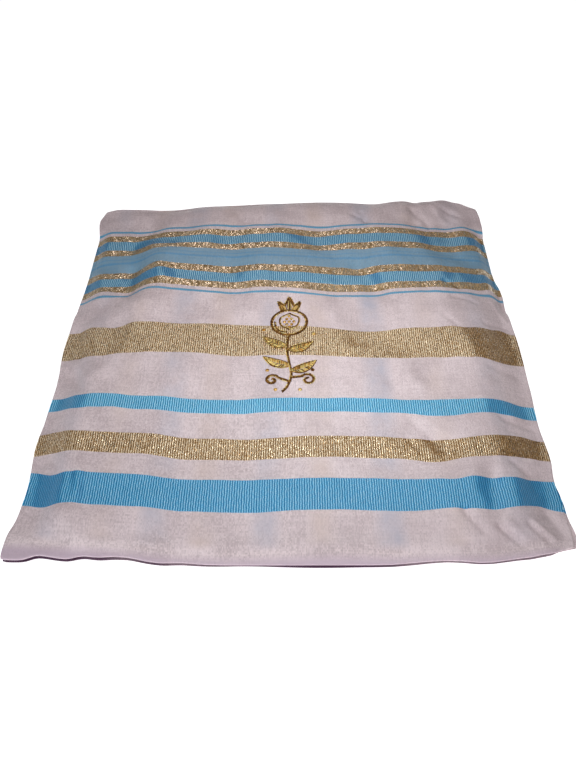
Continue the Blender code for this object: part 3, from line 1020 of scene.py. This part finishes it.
def ring(middle_x, middle_y, radius_x, radius_y, count=12):
    """A round outline."""
    angles = [math.tau * k / count for k in range(count)]
    return [(middle_x + radius_x * math.sin(a), middle_y - radius_y * math.cos(a)) for a in angles]


def curl(middle_x, middle_y, start_angle, hand):
    """A tendril that winds in to its middle."""
    count = round(8 * TENDRIL_TURNS)
    places = []
    for k in range(count + 1):
        angle = start_angle + hand * math.tau * TENDRIL_TURNS * k / count
        reach = TENDRIL_RADIUS * (1.0 - 0.78 * k / count)
        places.append((middle_x + reach * math.cos(angle), middle_y + reach * math.sin(angle)))
    return places


def line_stitches(path, width=LINE_WIDTH, closed=False):
    """Slanted stitches in painted shade side by side along a line, with short stitches of painted highlight
    along its left edge. Each is (x, y, direction, length, radius, tone)."""
    places = smooth_path(path, closed)
    ways = np.gradient(places, axis=0)
    stitches = []
    for number, ((x, y), (way_x, way_y)) in enumerate(zip(places, ways)):
        heading = math.atan2(way_y, way_x)
        length = width / math.sin(STITCH_SLANT)
        stitches.append((x, y, heading + STITCH_SLANT, length, STITCH_RADIUS, PAINTED_SHADE_TONE))
        # every second stitch gets a painted highlight stitch beside it
        if number % 2:
            edge_x = x - HIGHLIGHT_STITCH_PLACE * width * math.sin(heading)
            edge_y = y + HIGHLIGHT_STITCH_PLACE * width * math.cos(heading)
            stitches.append((edge_x, edge_y, heading + HIGHLIGHT_STITCH_TURN, *HIGHLIGHT_STITCH, BRIGHT_AND_PAINTED_HIGHLIGHT_TONE))
    return stitches


def stitch_between(start, end, extra=0.0):
    """A bright stitch from one point to another, and a little longer if told so."""
    middle, run = (start + end) / 2, end - start
    return (*middle, math.atan2(run[1], run[0]), np.hypot(*run) + extra, STITCH_RADIUS, BRIGHT_AND_PAINTED_HIGHLIGHT_TONE)


def leaf_half(base, tip, belly, lean, hand):
    """Points along one side of a leaf, from its base to its tip."""
    start, run = np.array(base, float), np.array(tip, float) - np.array(base, float)
    aside = np.array([-run[1], run[0]]) / np.hypot(*run)
    shares = np.linspace(0.0, 1.0, 7)
    out = lean * np.sin(math.pi * shares) + hand * belly * np.sin(math.pi * shares ** 0.8) ** 0.9
    return start + shares[:, None] * run + out[:, None] * aside


def leaf_stitches(base, tip, belly, lean):
    """A leaf: bright stitches from its vein out to both sides, and a line in painted shade, with painted
    highlight stitches, round it.
    """
    sides = [leaf_half(base, tip, belly, lean, hand) for hand in (-1, 1)]
    vein = smooth_path(leaf_half(base, tip, 0.0, lean, 0))
    last = len(vein) - 1
    stitches = []
    for edge in sides:
        rim = smooth_path(edge)
        for k in range(1, last):
            further = min(k + LEAF_SLANT, last)
            stitches.append(stitch_between(vein[k], rim[round(further * (len(rim) - 1) / last)]))
    for edge in sides:
        stitches += line_stitches(edge, width=LEAF_LINE)
    return stitches


def filled(corners):
    """Upright bright stitches side by side that fill a shape with four corners, given round it in order."""
    first, second, third, fourth = (np.array(corner, float) for corner in corners)
    count = round(max(np.hypot(*(second - first)), np.hypot(*(third - fourth))) / FILL_STEP)
    ends = [(first + k / count * (second - first), fourth + k / count * (third - fourth))
            for k in range(count + 1)]
    return [stitch_between(low, high, FILL_EXTRA) for low, high in ends]


def knot_stitches(x, y, size):
    """A raised knot of crossing stitches."""
    return [(x, y, math.pi * k / 3 + 0.3, size, size * KNOT_WIDTH, GOLD_TONE + 0.2 * k) for k in range(3)]


def sprig():
    """A pomegranate on its stem, with leaves, buds and tendrils. Local millimetres, +y towards the back."""
    stem = [(-3.5, -41.0), (-0.6, -36.5), (1.6, -28.0), (0.2, -17.0), (-1.2, -6.0), (0.0, 4.5)]
    stitches = line_stitches(stem, width=1.3)
    stitches += filled([(-4.2, 26.6), (-1.4, 27.2), (-3.0, 31.2), (-6.4, 34.0)])
    stitches += filled([(-1.8, 27.2), (1.8, 27.2), (0.5, 37.5), (-0.5, 37.5)])
    stitches += filled([(1.4, 27.2), (4.2, 26.6), (6.4, 34.0), (3.0, 31.2)])
    crown = [(-4.4, 26.4), (-6.8, 35.0), (-3.0, 31.0), (0.0, 39.0), (3.0, 31.0), (6.8, 35.0), (4.4, 26.4)]
    for first, second in zip(crown, crown[1:]):
        stitches += line_stitches([first, second])
    stitches += line_stitches(ring(0.0, 16.0, 11.0, 11.3), closed=True)
    stitches += line_stitches([(-8.9, 16.6), (-8.2, 12.0), (-5.4, 8.4), (-1.6, 7.0)], width=FINE_LINE)
    for hand in (-1, 1):
        heart = [(0.0, 24.2), (hand * 5.6, 20.0), (hand * 5.0, 13.5), (0.0, 9.6)]
        stitches += line_stitches(heart, width=FINE_LINE)
    for row, count in enumerate((1, 2, 3, 2, 1)):
        for k in range(count):
            stitches += knot_stitches((k - (count - 1) / 2) * 2.9, 21.6 - 2.5 * row, 2.1)
    for base, tip, belly, lean in (
        ((-1.0, -5.0), (-15.5, 3.5), 2.9, 1.2), ((-0.6, -8.0), (14.5, -1.5), 2.9, -1.2),
        ((0.8, -20.5), (-15.0, -13.5), 3.0, 1.4), ((1.2, -25.0), (16.0, -17.0), 3.0, -1.4),
    ):
        stitches += leaf_stitches(base, tip, belly, lean)
    stitches += line_stitches([(1.4, -30.0), (7.5, -29.0)] + curl(11.0, -31.5, math.radians(120), -1))
    stitches += line_stitches([(1.0, -33.0), (-5.5, -30.5)] + curl(-9.5, -32.5, math.radians(60), 1))
    for x, y in ((-12.5, -24.5), (13.8, -24.0), (-15.5, 9.5), (15.0, 5.5), (-7.5, -39.5), (6.5, -39.0)):
        stitches += knot_stitches(x, y, 2.3)
    return stitches


def stitch_shape():
    """The points, faces and corner UVs of one stitch, a spindle of unit length and radius along x."""
    bpy.ops.object.select_all(action="DESELECT")
    bpy.ops.mesh.primitive_uv_sphere_add(segments=6, ring_count=6, radius=1.0)
    spindle = bpy.context.active_object
    bpy.ops.object.mode_set(mode="EDIT")
    bpy.ops.mesh.select_all(action="SELECT")
    bpy.ops.transform.rotate(value=math.pi / 2, orient_axis="Y", center_override=(0.0, 0.0, 0.0))
    bpy.ops.transform.resize(value=(0.5, 1.0, 1.0), center_override=(0.0, 0.0, 0.0))
    bpy.ops.object.mode_set(mode="OBJECT")
    shape = points_of(spindle.data)
    # fuller than a ball, so that the stitch keeps its width almost to its ends
    fullness = np.clip(1.0 - (2.0 * shape[:, 0]) ** 4, 0.0, 1.0) ** 0.5
    around = np.maximum(np.hypot(shape[:, 1], shape[:, 2]), 1e-9)
    shape[:, 1:] *= (fullness / around)[:, None]
    faces = [tuple(polygon.vertices) for polygon in spindle.data.polygons]
    corner_uvs = [tuple(corner.uv) for corner in spindle.data.uv_layers[0].data]
    bpy.data.objects.remove(spindle)
    return shape, faces, corner_uvs


def sew(name, stitches, cloth, material, seed):
    """All the stitches as one joined mesh, each laid on the cloth below it."""
    shape, faces, corner_uvs = stitch_shape()
    tree = BVHTree.FromObject(cloth, bpy.context.evaluated_depsgraph_get())
    chance = random.Random(seed)
    points, polygons, tones = [], [], []
    for number, (x, y, direction, length, radius, tone) in enumerate(stitches):
        place = Vector(((x + MOTIF_PLACE[0]) * MM, (y + MOTIF_PLACE[1]) * MM, SEWN_FROM))
        touch, up, _, _ = tree.ray_cast(place, Vector((0, 0, -1)))
        slant = direction + chance.uniform(-HEADING_SPREAD, HEADING_SPREAD)
        way = Vector((math.cos(slant), math.sin(slant), 0.0))
        way = (way - way.dot(up) * up).normalized()
        turn = np.array(Matrix((way, up.cross(way), up)))
        size = np.array([length, radius, radius * STITCH_FLATNESS]) * MM
        lifted = touch + up * (STITCH_LIFT + chance.uniform(*LIFT_SPREAD)) * MM
        points.append((shape * size) @ turn + np.array(lifted))
        first = number * len(shape)
        polygons += [tuple(first + corner for corner in face) for face in faces]
        # some bright stitches are given the painted shade tone
        if tone > GOLD_TONE and chance.random() < PAINTED_SHADE_SHARE:
            tone = PAINTED_SHADE_TONE
        spread = TONE_SPREAD if tone > PAINTED_SHADE_TONE else LINE_SPREAD
        tones += [tone + chance.uniform(-spread, spread)] * len(shape)
    mesh = bpy.data.meshes.new(name)
    mesh.from_pydata(np.concatenate(points).tolist(), [], polygons)
    mesh.attributes.new("tone", "FLOAT", "POINT").data.foreach_set("value", tones)
    layer = mesh.uv_layers.new(name="stitch")
    layer.data.foreach_set("uv", np.array(corner_uvs * len(stitches), np.float32).ravel())
    mesh.shade_smooth()
    mesh.materials.append(material)
    stitching = bpy.data.objects.new(name, mesh)
    bpy.context.scene.collection.objects.link(stitching)
    return stitching


# ---------------- the table, the light and the camera

def add_table():
    bpy.ops.object.select_all(action="DESELECT")
    bpy.ops.mesh.primitive_plane_add(size=TABLE_SIZE, location=(0.0, 0.0, -TABLE_GAP))
    table = bpy.context.active_object
    table.name = "table"
    material, shader = new_material("pale_table")
    shader.inputs["Base Color"].default_value = (0.93, 0.93, 0.93, 1.0)
    shader.inputs["Roughness"].default_value = 0.9
    shader.inputs["Specular IOR Level"].default_value = 0.1
    shader.inputs["Emission Color"].default_value = (1.0, 1.0, 1.0, 1.0)
    shader.inputs["Emission Strength"].default_value = TABLE_GLOW
    table.data.materials.append(material)


def add_world():
    """A dim room that looks white from the camera, so that metal threads keep their dark sides."""
    world = bpy.data.worlds.new("studio")
    world.use_nodes = True
    tree = world.node_tree
    seen = result(tree, "LightPath", output="Is Camera Ray")
    brightness = seen * (1.0 - ROOM_BRIGHTNESS) + ROOM_BRIGHTNESS
    join(tree, brightness, tree.nodes["Background"].inputs["Strength"])
    tree.nodes["Background"].inputs["Color"].default_value = (1.0, 1.0, 1.0, 1.0)
    bpy.context.scene.world = world


def add_lamp(name, place, size, power, colour):
    """A soft square lamp that faces the middle of the packet."""
    light = bpy.data.lights.new(name, "AREA")
    light.shape = "SQUARE"
    light.size = size
    light.energy = power
    light.color = colour
    lamp = bpy.data.objects.new(name, light)
    lamp.location = place
    lamp.rotation_euler = (-Vector(place)).to_track_quat("-Z", "Y").to_euler()
    lamp.visible_camera = False
    bpy.context.scene.collection.objects.link(lamp)


def add_camera():
    camera = bpy.data.objects.new("camera", bpy.data.cameras.new("camera"))
    camera.data.lens = LENS
    camera.data.sensor_width = SENSOR
    turn = Matrix.Rotation(math.radians(CAMERA_TURN), 4, "Z")
    tilt = Matrix.Rotation(math.radians(90 - CAMERA_DOWN), 4, "X")
    roll = Matrix.Rotation(math.radians(CAMERA_ROLL), 4, "Z")
    camera.matrix_world = Matrix.Translation(CAMERA_PLACE) @ turn @ tilt @ roll
    bpy.context.scene.collection.objects.link(camera)
    bpy.context.scene.camera = camera
    bpy.context.scene.view_settings.view_transform = "Standard"


# ---------------- the shawl

def main():
    add_camera()
    add_world()
    for lamp in LAMPS:
        add_lamp(*lamp)
    add_table()

    x, y, z = packet_form()
    form = (x, y, creased(x, y, z))
    cloth_map = flat_places(*form)
    # how far each slope is turned from the lamps, which sets the cloth's painted shade and painted shine
    turned = painted_shade_by_slope(form)
    groups = {"band": band_group(), "rib": rib_group(), "glint": glint_group(), "ground": ground_group(),
              "facet": facet_group()}
    outer_cloth = woven_cloth("outer_cloth", groups)
    inner_cloth = woven_cloth("inner_cloth", groups, outside=False)

    bottom = 0.0
    for number, (name, sides, top) in enumerate(HIDDEN_LAYERS):
        sheet = blank_sheet(name, ACROSS_CELLS // HIDDEN_COARSER, ALONG_CELLS // HIDDEN_COARSER)

        def under(height, share=bottom):
            return (height - OUTER_THICKNESS) * share

        def over(height, share=top):
            return (height - OUTER_THICKNESS) * share - LAYER_GAP

        lay_sheet(sheet, form, cloth_map, turned, under, over, hidden_setbacks(sides, number))
        sheet.data.materials.append(inner_cloth)
        bottom = top
        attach(sheet, "root")
        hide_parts("hidden_layers")
        sheet.name

    outer = blank_sheet("outer_cloth_layer", ACROSS_CELLS, ALONG_CELLS)
    lay_sheet(outer, form, cloth_map, turned,
              lambda height: height - OUTER_THICKNESS, lambda height: height, even_setback)
    outer.data.materials.append(outer_cloth)
    stitching = sew("gold_stitching", sprig(), outer, gold_thread(), seed=7)
    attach(outer, "root")
    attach(stitching, "root")
    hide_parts("outer_layer")


main()
